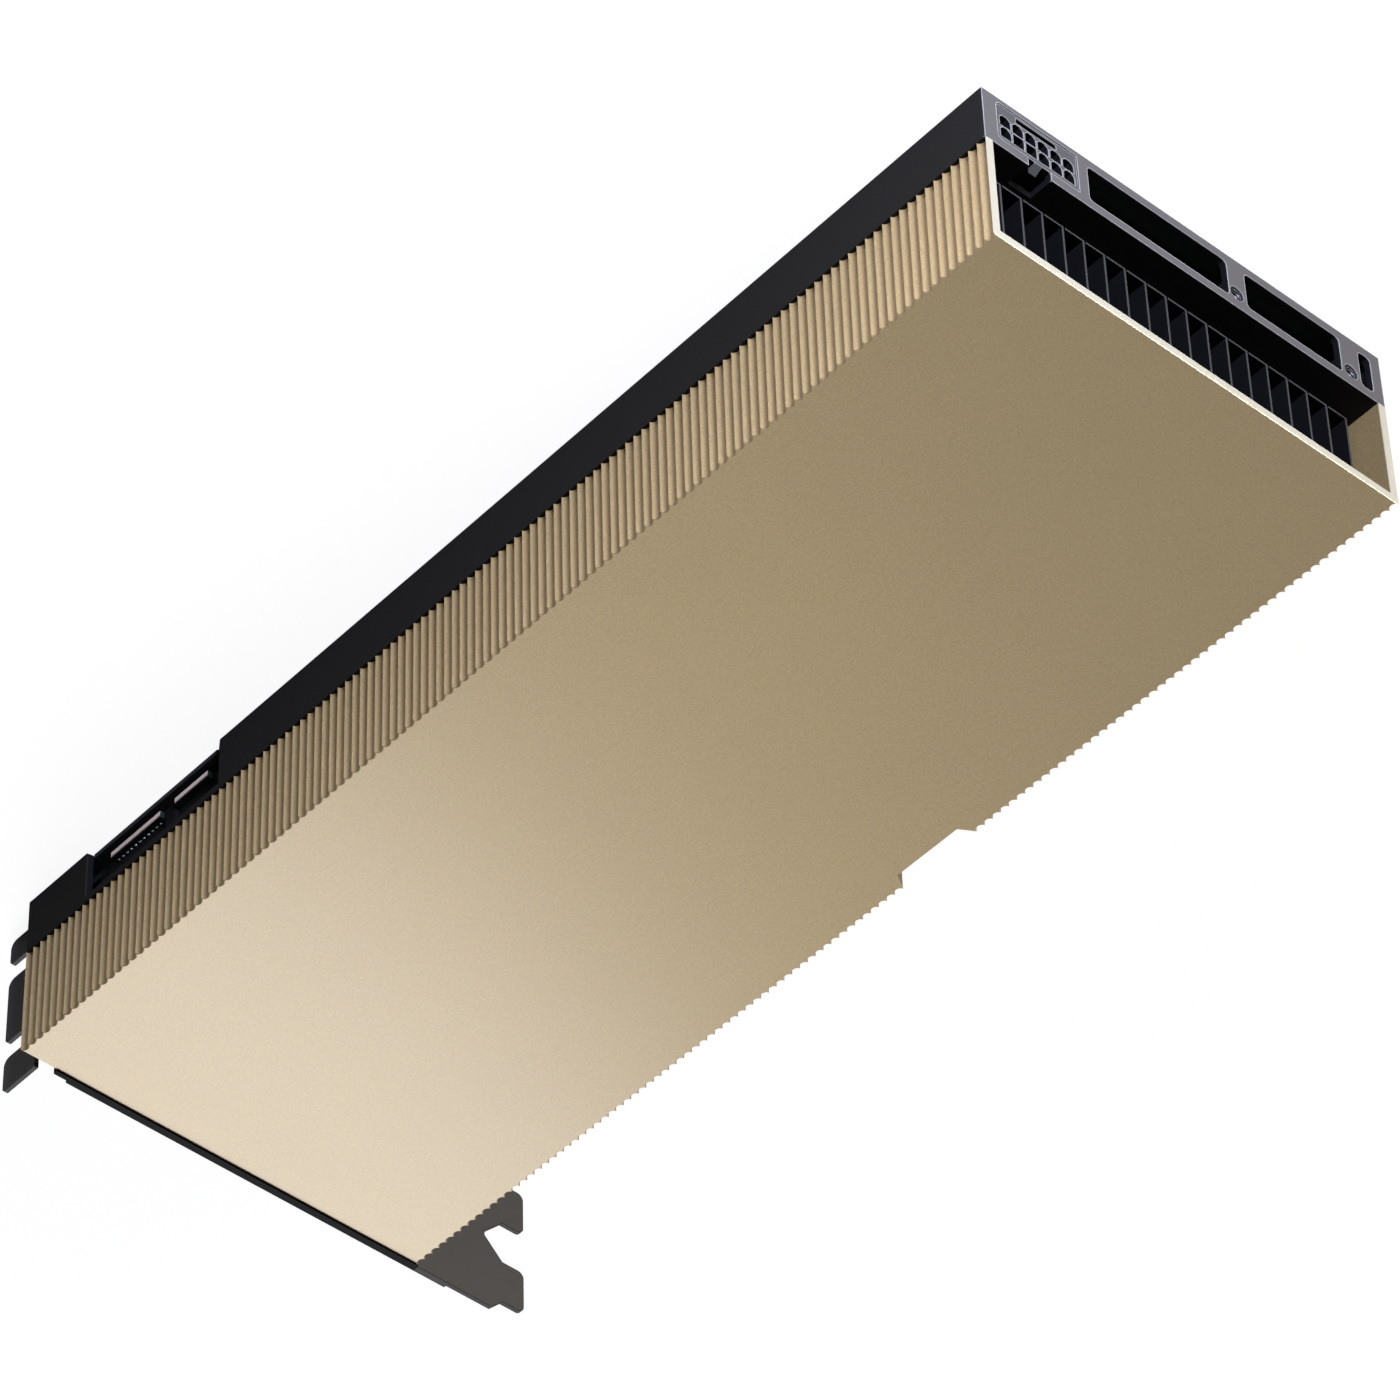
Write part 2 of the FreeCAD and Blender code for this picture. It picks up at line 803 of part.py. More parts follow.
def bracket_plate():
    """Upright sheet of the bracket, with two tongues at the foot."""
    bend = bend_radius + bracket_sheet
    top = bracket_top - bend
    shoulder = top - relief_height + bend
    low_side = tongue_centres[0] - tongue_width / 2
    high_side = tongue_centres[1] + tongue_width / 2
    inner_low = tongue_centres[0] + tongue_width / 2
    inner_high = tongue_centres[1] - tongue_width / 2
    middle = (inner_low + inner_high) / 2
    outline = [
        (top, bracket_low + relief_depth), (top, bracket_high - relief_depth),
        (shoulder, bracket_high - relief_depth), (shoulder, bracket_high),
        (tongue_root + bracket_high - high_side, bracket_high), (tongue_root, high_side),
        (bracket_tip, high_side), (bracket_tip, inner_high), (tongue_root, inner_high),
        (crotch_top, middle + crotch_width / 2), (crotch_top, middle - crotch_width / 2),
        (tongue_root, inner_low), (bracket_tip, inner_low), (bracket_tip, low_side),
        (tongue_root, low_side), (tongue_root + low_side - bracket_low, bracket_low),
        (shoulder, bracket_low), (shoulder, bracket_low + relief_depth),
    ]
    plate = cross_plate(outline, -bracket_sheet, 0)
    tips = [e for e in edges_along(plate, V(1, 0, 0)) if abs(e.CenterOfMass.y - bracket_tip) < same_place]
    return plate.makeFillet(tongue_corner, tips)


def bracket_bend():
    """Quarter ring between the upright sheet and the flange."""
    outer = bend_radius + bracket_sheet
    axis = V(-outer, bracket_top - outer, bracket_low + relief_depth)
    length = bracket_high - bracket_low - 2 * relief_depth
    ring = Part.makeCylinder(outer, length, axis, V(0, 0, 1), 90)
    return ring.cut(Part.makeCylinder(bend_radius, length, axis))


def bracket_flange():
    """Flange with two open notches for the case screws, which leave three lobes with rounded corners."""
    bend = bend_radius + bracket_sheet
    low, high = bracket_top - bracket_sheet - cut_over, bracket_top + cut_over
    flange = box(-flange_reach, -bend, bracket_top - bracket_sheet, bracket_top, 0, bracket_high)
    half = flange_notch_width / 2
    for z in flange_notch_z:
        mouth = box(-flange_reach - cut_over, -flange_notch_reach, low, high, z - half, z + half)
        end = Part.makeCylinder(half, high - low, V(-flange_notch_reach, low, z), V(0, 1, 0))
        flange = flange.cut(mouth.fuse(end))
    low_corners = [0] + [z + half for z in flange_notch_z]
    high_corners = [z - half for z in flange_notch_z] + [bracket_high]
    for levels, radius in ((low_corners, flange_low_corner), (high_corners, flange_high_corner)):
        corners = [e for e in edges_along(flange, V(0, 1, 0))
                   if abs(e.CenterOfMass.x + flange_reach) < same_place
                   and min(abs(e.CenterOfMass.z - level) for level in levels) < same_place]
        flange = flange.makeFillet(radius, corners)
    return flange


def vent_slots():
    """Upright exhaust slots with cut corners."""
    slots = []
    half = vent_width / 2
    for i in range(vent_count):
        y = vent_start + vent_pitch * i
        outline = cut_rectangle(y - half, y + half, vent_low, vent_high, vent_corner)
        slots.append(cross_plate(outline, -bracket_sheet - cut_over, cut_over))
    return slots


def bracket():
    lip = box(-bracket_sheet - lip_reach, -bracket_sheet, lip_low, lip_high,
              bracket_high - bracket_sheet, bracket_high)
    sheet = fuse([bracket_plate(), bracket_bend(), bracket_flange(), lip])
    low, length = -bracket_sheet - cut_over, bracket_sheet + 2 * cut_over
    holes = [Part.makeCylinder(screw_radius + shank_gap, length, V(low, y, z), V(1, 0, 0))
             for y, z, part in bracket_screw_sites()]
    return sheet.cut(holes + vent_slots())


def bracket_screws():
    screws = []
    for y, z, part in bracket_screw_sites():
        head = hex_head(V(-bracket_sheet, y, z), V(-1, 0, 0), head_height)
        shank = Part.makeCylinder(screw_radius, bracket_sheet + bracket_screw_length,
                                  V(-bracket_sheet, y, z), V(1, 0, 0))
        screws.append(head.fuse(shank))
    return Part.makeCompound(screws)


def assembly():
    pieces = {
        "heatsink_cover": heatsink_cover(),
        "fin_stack": fin_stack(),
        "main_frame": main_frame(),
        "vapour_chamber": vapour_chamber(),
        "backplate": backplate(),
        "backplate_screws": backplate_screws(),
        "insulating_film": insulating_film(),
        "circuit_board": circuit_board(),
        "bridge_cover_insert": bridge_cover_insert(),
        "processor_substrate": processor_substrate(),
        "processor_stiffener": processor_stiffener(),
        "processor_die": processor_die(),
        "thermal_paste": thermal_paste(),
        "retention_plate": retention_plate(),
        "retention_screws": retention_screws(),
        "memory_pads": memory_pads(),
        "power_stages": power_stages(),
        "power_stage_pads": power_stage_pads(),
        "chokes": chokes(),
        "polymer_capacitors": polymer_capacitors(),
        "ceramic_capacitors": ceramic_capacitors(),
        "control_chips": control_chips(),
        "input_choke": input_choke(),
        "power_connector_housing": power_connector_housing(),
        "power_connector_pins": power_connector_pins(),
        "sense_contacts": sense_contacts(),
        "bracket": bracket(),
        "bracket_screws": bracket_screws(),
    }
    for number, place in enumerate(memory_places(), start=1):
        pieces[f"memory_chip_{number:02d}"] = memory_chip(place)
    return pieces


# The origin is under the middle of the whole card, on the backplate's outer face
centre_x = (body_length - flange_reach) / 2
centre_y = (body_height + bracket_tip) / 2

os.makedirs("parts", exist_ok=True)
for name, shape in assembly().items():
    shape.translate(V(-centre_x, -centre_y, 0))
    shape.exportStep(f"parts/{name}.step")
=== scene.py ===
"""Dresses the accelerator card: a finish for every piece, and the fine detail the solids leave out.

Sizes and places on the card are in millimetres, from the card's own corner: X from the cover's
bracket end, Y from its slot edge and Z from the backplate's outer face. Lamps, the floor and the
camera's reach have their sizes in metres.
"""
import bmesh
import bpy
import json
from math import asin, cos, radians, sin, tau
from mathutils import Matrix, Vector


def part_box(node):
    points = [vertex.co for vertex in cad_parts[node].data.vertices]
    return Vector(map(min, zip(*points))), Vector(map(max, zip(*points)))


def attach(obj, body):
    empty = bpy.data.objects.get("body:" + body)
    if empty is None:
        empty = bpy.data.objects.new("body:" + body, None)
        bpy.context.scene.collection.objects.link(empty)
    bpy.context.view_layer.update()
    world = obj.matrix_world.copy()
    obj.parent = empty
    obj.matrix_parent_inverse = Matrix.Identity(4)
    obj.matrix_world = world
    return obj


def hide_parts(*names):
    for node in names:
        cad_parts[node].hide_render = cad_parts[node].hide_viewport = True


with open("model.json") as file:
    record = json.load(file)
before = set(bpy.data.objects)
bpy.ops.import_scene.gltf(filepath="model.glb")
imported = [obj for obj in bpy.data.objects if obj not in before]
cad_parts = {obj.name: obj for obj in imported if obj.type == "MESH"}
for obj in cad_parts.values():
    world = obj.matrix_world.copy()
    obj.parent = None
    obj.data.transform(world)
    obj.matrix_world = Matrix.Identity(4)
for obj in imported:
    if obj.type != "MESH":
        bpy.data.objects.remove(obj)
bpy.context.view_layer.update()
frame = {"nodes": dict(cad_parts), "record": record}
nodes = frame["nodes"]
slot_of = {part["node"]: part["material_slot"] for part in frame["record"]["subparts"]}
mm = 0.001

cover_low, cover_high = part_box("heatsink_cover")
body_length = (cover_high.x - cover_low.x) / mm
body_height = (cover_high.y - cover_low.y) / mm
frame_height = cover_low.z / mm
body_thickness = cover_high.z / mm

# Fluted cover
cover_wall = 1.75
duct_top = body_thickness - cover_wall
flute_pitch = 2.17
flute_depth = 0.8
flute_facets = 10
cover_chamfer = 0.14
mitre_limit = 0.2
notch_start = 139.3
notch_end = 159.2
notch_depth = 3.2
notch_slant = 1.9
boss_length = 5.5
boss_width = 6.0
boss_drop = 6.2
bracket_screw_y = (11.5, 86.0)
bracket_screw_z = (8.2, 33.0)

# Screws
shank_radius = 1.2
head_radius = 2.2
head_height = 1.2
head_ease = 0.05
screw_rim = 0.15
screw_sides = 36
star_radius = 1.05
star_ripple = 0.22
star_points = 6
star_depth = 0.8

# Slot contacts
contact_pitch = 1.0
contact_width = 0.72
contact_length = 4.6
contact_margin = 0.45
contact_thickness = 0.03
contact_runs = ((47.3, 58.05), (59.95, 131.3))

# Threads in the tail wall's holes: the ridge's half foot is a share of its pitch
tail_hole_y = (8.0, 36.5)
tail_hole_z = 9.2
tail_hole_radius = 1.25
thread_pitch = 0.5
thread_depth = 0.16
thread_length = 4.5
thread_inset = 0.5
thread_foot = 0.4
thread_steps = 24

# Bare edges of the bridge tabs, with a line of copper, and the row of solder points behind them
tab_spans = ((23.1, 38.3), (42.5, 52.6))
tab_margin = 0.1
tab_edge_proud = 0.02
laminate_band = (0.02, 1.08)
copper_band = (1.16, 1.36)
solder_start = 24.0
solder_pitch = 1.28
solder_count = 11
solder_radius = 0.3
solder_height = 0.18
solder_inset = 1.45
solder_sides = 12

# Section of a solder point, as shares of its radius and height
solder_section = ((1.0, 0.0), (0.8, 0.7), (0.35, 1.0))

# Finishes: the clear coat, the two noises, and the relief's height as a share of the grain
coat_roughness = 0.18
coat_ior = 2.25
fine_detail = 3
cloud_size = 45
cloud_detail = 2
relief_share = 0.5

# Finish of each slot of the record, and of the pieces that only the scene has
surfaces = {
    "champagne_aluminium": dict(colour=(0.60, 0.431, 0.188), metallic=0.75, roughness=0.37,
                                grain=0.35, tone=0.30, relief=0.12, coat=1.0),
    # black_casting is near black as painted shade for the duct's roof, the windows and the recess;
    # its outer faces get other colours below
    "black_casting": dict(colour=(0.003, 0.003, 0.0032), metallic=0.0, roughness=0.72, grain=0.35,
                          tone=0.15, relief=0.3, shine=0.1),
    "black_sheet": dict(colour=(0.020, 0.020, 0.021), metallic=0.0, roughness=0.48, grain=0.25,
                        tone=0.15, relief=0.25),
    # dark_fins is near black as painted shade inside the duct
    "dark_fins": dict(colour=(0.004, 0.004, 0.0042), metallic=0.3, roughness=0.55, grain=0.6,
                      stretch=(0.1, 1, 1), shine=0.1),
    "plated_copper": dict(colour=(0.60, 0.58, 0.55), metallic=1.0, roughness=0.35, grain=0.4,
                          stretch=(0.1, 1, 1)),
    "bracket_steel": dict(colour=(0.120, 0.112, 0.109), metallic=0.6, roughness=0.50, grain=0.35,
                          stretch=(1, 0.12, 1), tone=0.08, relief=0.12, shine=0.3),
    "screw_steel": dict(colour=(0.10, 0.10, 0.105), metallic=1.0, roughness=0.35, grain=0.2),
    "spring_steel": dict(colour=(0.55, 0.55, 0.56), metallic=1.0, roughness=0.35, grain=0.3,
                         stretch=(0.1, 1, 1)),
    "board_laminate": dict(colour=(0.012, 0.018, 0.014), metallic=0.0, roughness=0.38, grain=0.5,
                           tone=0.2),
    "package_laminate": dict(colour=(0.03, 0.12, 0.06), metallic=0.0, roughness=0.40, grain=0.3),
    "silicon": dict(colour=(0.10, 0.11, 0.14), metallic=0.4, roughness=0.12, grain=0.5,
                    gloss_spread=0.03, relief=0.02),
    "chip_moulding": dict(colour=(0.022, 0.022, 0.023), metallic=0.0, roughness=0.62, grain=0.15,
                          tone=0.2, relief=0.3),
    "gap_pad": dict(colour=(0.40, 0.46, 0.55), metallic=0.0, roughness=0.80, grain=0.4, relief=0.3),
    "grey_paste": dict(colour=(0.42, 0.42, 0.43), metallic=0.0, roughness=0.70, grain=0.5,
                       relief=0.4),
    "choke_ferrite": dict(colour=(0.10, 0.10, 0.10), metallic=0.1, roughness=0.58, grain=0.3,
                          tone=0.15, relief=0.4),
    "can_aluminium": dict(colour=(0.72, 0.72, 0.73), metallic=1.0, roughness=0.32, grain=0.3),
    "ceramic_body": dict(colour=(0.38, 0.24, 0.12), metallic=0.0, roughness=0.45, grain=0.2),
    "clear_film": dict(colour=(0.05, 0.05, 0.055), metallic=0.0, roughness=0.22, grain=1.5,
                       relief=0.05),
    # black_moulding is near black as painted shade inside the socket's cells
    "black_moulding": dict(colour=(0.004, 0.004, 0.0042), metallic=0.0, roughness=0.60, grain=0.2,
                           tone=0.12, shine=0.1),
    # tin_contact is darkened as painted shade on the pins deep in the socket's cells
    "tin_contact": dict(colour=(0.08, 0.07, 0.055), metallic=1.0, roughness=0.35, grain=0.2),
    "gold_plating": dict(colour=(0.83, 0.62, 0.36), metallic=1.0, roughness=0.25, grain=0.2,
                         relief=0.08),
    "bare_laminate": dict(colour=(0.80, 0.66, 0.52), metallic=0.0, roughness=0.60, grain=0.2,
                          tone=0.12),
    "copper_line": dict(colour=(0.30, 0.12, 0.07), metallic=0.3, roughness=0.45, grain=0.2),
    "solder": dict(colour=(0.45, 0.47, 0.52), metallic=1.0, roughness=0.30, grain=0.1),
    "cut_thread": dict(colour=(0.030, 0.029, 0.030), metallic=0.3, roughness=0.45, grain=0.1),
}

# Edge mask: its samples, and the cosines of the turn at which it starts and is full
edge_samples = 8
edge_start = 0.99
edge_full = 0.90

# Painted shadow on the bracket's top edge beside the cover, as reaches from the cover and from its
# upper corner
lip_reach = 1.6
lip_depth = 1.0
lip_painted_shadow = (0.002, 0.002, 0.002)

# Painted light on the faces at the tail, where the light from the tail falls: on the wall and the
# cover, and on the socket, which is set back
tail_skin = 0.16
tail_wall_painted_light = (0.063, 0.059, 0.053)
tail_cover_painted_light = (0.92, 0.85, 0.62)
socket_skin = 0.3
socket_face_painted_light = (0.048, 0.0455, 0.042)

# Paler top of the socket, where its catch is
catch_height = 0.98
paler_socket_top = (0.045, 0.044, 0.042)

# Plain black of the frame's long outer sides, over a casting left darker as painted shade, and
# painted light on the fins' ends
side_skin = 0.3
outer_side_black = (0.0125, 0.0117, 0.0096)
fin_edge = 0.02
fin_end_painted_light = (0.038, 0.037, 0.035)

# Rims: how far they reach forward from the tail's face, their width, and their colours, painted
# highlights on the casting and the socket and darker edges on the bracket
rim_skin = 0.45
rim_width = 0.35
casting_rim_highlight = (0.25, 0.243, 0.225)
socket_rim_highlight = (0.23, 0.223, 0.205)
bracket_dark_edge = (0.020, 0.019, 0.018)

# Floor, a hair below the card so that the two faces stay apart
floor_size = 4.0
floor_drop = 0.05
floor_tone = 0.5
floor_roughness = 0.9
floor_glow = 0.90
# Glow in reflections beside the card, a painted shadow, rising to the full glow between the fade's
# distances
painted_shadow_glow = 0.02
fade_start = 2.0
fade_end = 320.0

# Room: its plain light, and its glow in reflections, as pairs of a direction's rise and the glow
room_light = 0.04
room_glow = ((0.0, 0.75), (0.30, 0.60), (0.55, 0.10), (0.80, 0.05), (0.95, 0.45), (1.0, 0.5))

# Lamps: place and target in millimetres on the card, size, power and colour. The two low ones are
# strips with a height, below the cover's face, so that they leave no streak on it.
strip_level = 19
strip_height = 0.034
face_middle = (body_length / 2, body_height / 2, body_thickness)
tail_middle = (body_length, body_height / 2, strip_level)
lamps = {
    "key": ((-1440, -665, 900), face_middle, 1.4, 9.4, (0.94, 0.975, 1.06)),
    "face_fill": ((-440, -771, 1217), face_middle, 1.0, 0.86, (1.0, 0.95, 0.86)),
    "tail_fill": ((1100, -420, strip_level), tail_middle, 0.6, 10.3, (1.0, 0.985, 0.92),
                  strip_height),
    "flute_fill": ((560, 290, strip_level), (200, 97, strip_level), 0.16, 4.0, (0.94, 1.0, 1.36),
                   strip_height),
}

# Camera at the photograph's angle: its place in millimetres on the card, and its directions
camera_place = (787.27, 653.13, 904.69)
camera_right = Vector((0.66309, -0.74813, 0.02483))
camera_up = Vector((0.54054, 0.45562, -0.70727))
camera_lens = 176.09
camera_sensor = 36.0
camera_near = 0.01
camera_far = 20


def at(x, y, z):
    """Point in the frame's metres, from millimetres on the card."""
    return Vector((cover_low.x + x * mm, cover_low.y + y * mm, z * mm))


def mesh_piece(name, points, faces, slot, smooth_angle=30):
    """New piece from points in millimetres on the card and faces as rows of point numbers."""
    mesh = bpy.data.meshes.new(name)
    mesh.from_pydata([at(*p) for p in points], [], faces)
    work = bmesh.new()
    work.from_mesh(mesh)
    bmesh.ops.recalc_face_normals(work, faces=work.faces)
    work.to_mesh(mesh)
    work.free()
    mesh.shade_smooth()
    mesh.set_sharp_from_angle(angle=radians(smooth_angle))
    piece = bpy.data.objects.new(name, mesh)
    bpy.context.scene.collection.objects.link(piece)
    piece.data.materials.append(finishes[slot])
    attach(piece, "root")
    return piece


def loft(loops):
    """Points and faces of a closed skin through loops of equal length."""
    count = len(loops[0])
    points = [p for loop in loops for p in loop]
    faces = []
    for level in range(len(loops) - 1):
        for i in range(count):
            a, b = level * count + i, level * count + (i + 1) % count
            faces.append((a, b, b + count, a + count))
    faces.append(tuple(reversed(range(count))))
    faces.append(tuple(range((len(loops) - 1) * count, len(loops) * count)))
    return points, faces


def joined(parts):
    """One list of points and faces from several."""
    points, faces = [], []
    for more_points, more_faces in parts:
        shift = len(points)
        points += more_points
        faces += [tuple(i + shift for i in face) for face in more_faces]
    return points, faces


def box_skin(x0, x1, y0, y1, z0, z1):
    """Points and faces of a block."""
    ring = [(x0, y0), (x1, y0), (x1, y1), (x0, y1)]
    return loft([[(x, y, z) for x, y in ring] for z in (z0, z1)])


# Finishes

def finish(slot, colour, metallic, roughness, grain, tone=0.06, gloss_spread=0.08, relief=0.15,
           stretch=(1, 1, 1), cloud=0.04, shine=0.5, coat=0.0):
    """Surface whose colour, gloss and relief vary with noise, of a grain in millimetres."""
    material = bpy.data.materials.new(slot)
    material.use_nodes = True
    tree = material.node_tree
    shader = tree.nodes["Principled BSDF"]
    shader.inputs["Metallic"].default_value = metallic
    shader.inputs["Specular IOR Level"].default_value = shine
    shader.inputs["Coat Weight"].default_value = coat
    shader.inputs["Coat Roughness"].default_value = coat_roughness
    shader.inputs["Coat IOR"].default_value = coat_ior
    place = tree.nodes.new("ShaderNodeTexCoord")
    scaled = tree.nodes.new("ShaderNodeMapping")
    scaled.inputs["Scale"].default_value = stretch
    tree.links.new(place.outputs["Object"], scaled.inputs["Vector"])

    fine = tree.nodes.new("ShaderNodeTexNoise")
    fine.inputs["Scale"].default_value = 1 / (grain * mm)
    fine.inputs["Detail"].default_value = fine_detail
    tree.links.new(scaled.outputs["Vector"], fine.inputs["Vector"])
    broad = tree.nodes.new("ShaderNodeTexNoise")
    broad.inputs["Scale"].default_value = 1 / (cloud_size * mm)
    broad.inputs["Detail"].default_value = cloud_detail
    tree.links.new(place.outputs["Object"], broad.inputs["Vector"])

    tones = tree.nodes.new("ShaderNodeMix")
    tones.data_type = "RGBA"
    tones.inputs["A"].default_value = [c * (1 - tone) for c in colour] + [1]
    tones.inputs["B"].default_value = [min(1, c * (1 + tone)) for c in colour] + [1]
    tree.links.new(fine.outputs["Fac"], tones.inputs["Factor"])
    clouds = tree.nodes.new("ShaderNodeMix")
    clouds.data_type = "RGBA"
    clouds.blend_type = "MULTIPLY"
    clouds.inputs["B"].default_value = [1 - 2 * cloud] * 3 + [1]
    tree.links.new(broad.outputs["Fac"], clouds.inputs["Factor"])
    tree.links.new(tones.outputs["Result"], clouds.inputs["A"])
    tree.links.new(clouds.outputs["Result"], shader.inputs["Base Color"])

    gloss = tree.nodes.new("ShaderNodeMapRange")
    gloss.inputs["To Min"].default_value = roughness - gloss_spread
    gloss.inputs["To Max"].default_value = roughness + gloss_spread
    tree.links.new(fine.outputs["Fac"], gloss.inputs["Value"])
    tree.links.new(gloss.outputs["Result"], shader.inputs["Roughness"])

    bump = tree.nodes.new("ShaderNodeBump")
    bump.inputs["Strength"].default_value = relief
    bump.inputs["Distance"].default_value = grain * mm * relief_share
    tree.links.new(fine.outputs["Fac"], bump.inputs["Height"])
    tree.links.new(bump.outputs["Normal"], shader.inputs["Normal"])
    return material


def make_finishes():
    """One material for each row of surfaces."""
    return {slot: finish(slot, **surface) for slot, surface in surfaces.items()}


def edge_mask(tree, width):
    """1 within about a width in mm of a sharp edge, 0 elsewhere."""
    rounded = tree.nodes.new("ShaderNodeBevel")
    rounded.samples = edge_samples
    rounded.inputs["Radius"].default_value = width * mm
    flat = tree.nodes.new("ShaderNodeNewGeometry")
    facing = tree.nodes.new("ShaderNodeVectorMath")
    facing.operation = "DOT_PRODUCT"
    tree.links.new(rounded.outputs["Normal"], facing.inputs[0])
    tree.links.new(flat.outputs["Normal"], facing.inputs[1])
    turned = tree.nodes.new("ShaderNodeMapRange")
    turned.inputs["From Min"].default_value = edge_start
    turned.inputs["From Max"].default_value = edge_full
    tree.links.new(facing.outputs["Value"], turned.inputs["Value"])
    return turned.outputs["Result"]


def repaint(slot, tests, colour, edge=0.0):
    """Second colour on a slot where every test of place holds: (axis, level, side), in metres.

    With an edge, in mm, it stays that close to the sharp edges.
    """
    tree = finishes[slot].node_tree
    shader = tree.nodes["Principled BSDF"]
    first = shader.inputs["Base Color"].links[0].from_socket
    place = tree.nodes.new("ShaderNodeTexCoord")
    parts = tree.nodes.new("ShaderNodeSeparateXYZ")
    tree.links.new(place.outputs["Object"], parts.inputs["Vector"])
    mask = edge_mask(tree, edge) if edge else None
    for axis, level, side in tests:
        test = tree.nodes.new("ShaderNodeMath")
        test.operation = side
        tree.links.new(parts.outputs[axis], test.inputs[0])
        test.inputs[1].default_value = level
        if mask:
            both = tree.nodes.new("ShaderNodeMath")
            both.operation = "MULTIPLY"
            tree.links.new(mask, both.inputs[0])
            tree.links.new(test.outputs["Value"], both.inputs[1])
            mask = both.outputs["Value"]
        else:
            mask = test.outputs["Value"]
    paint = tree.nodes.new("ShaderNodeMix")
    paint.data_type = "RGBA"
    tree.links.new(mask, paint.inputs["Factor"])
    tree.links.new(first, paint.inputs["A"])
    paint.inputs["B"].default_value = (*colour, 1)
    tree.links.new(paint.outputs["Result"], shader.inputs["Base Color"])


def beyond(axis, level):
    """Test of place for repaint: only what lies past a level."""
    return (axis, level, "GREATER_THAN")


def below(axis, level):
    """Test of place for repaint: only what lies short of a level."""
    return (axis, level, "LESS_THAN")


def repaint_parts():
    """Second colours: outer sides, painted light at the tail and on fin ends, painted highlights on
    rims, dark bracket edges, a pale catch and a painted shadow on the lip.
    """
    tail = beyond("X", cover_high.x - tail_skin * mm)
    rim = beyond("X", cover_high.x - rim_skin * mm)
    bracket_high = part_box("bracket")[1]
    fin_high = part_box("fin_stack")[1]
    socket_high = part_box("power_connector_housing")[1]
    # The long outer sides get a plain black over the casting's painted shade
    repaint("black_casting", [beyond("Y", cover_high.y - side_skin * mm)], outer_side_black)
    repaint("black_casting", [below("Y", cover_low.y + side_skin * mm)], outer_side_black)
    # Painted light on the tail face of the wall
    repaint("black_casting", [tail], tail_wall_painted_light)
    # Painted highlights on the casting's rims at the tail
    repaint("black_casting", [rim], casting_rim_highlight, edge=rim_width)
    # Painted light on the socket's face at the tail
    repaint("black_moulding", [beyond("X", cover_high.x - socket_skin * mm)], socket_face_painted_light)
    # Paler top of the socket, at its catch
    repaint("black_moulding", [beyond("Z", socket_high.z - catch_height * mm)], paler_socket_top)
    # Painted highlights on the socket's rims at the tail
    repaint("black_moulding", [rim], socket_rim_highlight, edge=rim_width)
    # Painted light on the fins' ends that face the tail
    repaint("dark_fins", [beyond("X", fin_high.x - fin_edge * mm)], fin_end_painted_light)
    # Painted light on the cover's tail face
    repaint("champagne_aluminium", [tail], tail_cover_painted_light)
    # Painted shadow on the bracket's top edge, where the cover is above it
    repaint("bracket_steel", [beyond("Z", bracket_high.z - lip_depth * mm),
                              beyond("Y", cover_low.y),
                              beyond("X", cover_low.x - lip_reach * mm)], lip_painted_shadow)
    # Darker along every sharp edge of the bracket
    repaint("bracket_steel", [], bracket_dark_edge, edge=rim_width)


# Fluted cover

def fluted_run(x0, x1, y, inward):
    """Row of round grooves that meet in sharp cusps on the line at y."""
    count = max(1, round(abs(x1 - x0) / flute_pitch))
    step = (x1 - x0) / count
    half = abs(step) / 2
    radius = (half ** 2 + flute_depth ** 2) / (2 * flute_depth)
    spread = asin(half / radius)
    heading = step / abs(step)
    points = []
    for i in range(count):
        middle = x0 + (i + 0.5) * step
        for k in range(flute_facets):
            angle = spread * (2 * k / flute_facets - 1)
            rise = radius * (cos(angle) - cos(spread))
            points.append((middle + heading * radius * sin(angle), y + inward * rise))
    return points


def notch_outline(inset):
    """Corners of the latch clearance, set into the cover by an inset."""
    return [
        (notch_start - inset, inset),
        (notch_start + notch_slant - inset, notch_depth + inset),
        (notch_end - notch_slant + inset, notch_depth + inset),
        (notch_end + inset, inset),
    ]


def inset_loop(loop, distance):
    """Closed outline moved inward by a distance, with mitred corners."""
    moved = []
    for i, corner in enumerate(loop):
        here = Vector(corner)
        before = (here - Vector(loop[i - 1])).normalized()
        after = (Vector(loop[(i + 1) % len(loop)]) - here).normalized()
        normals = Vector((-before.y, before.x)) + Vector((-after.y, after.x))
        reach = distance * 2 / max(normals.length_squared, mitre_limit)
        moved.append(tuple(here + normals * reach))
    return moved


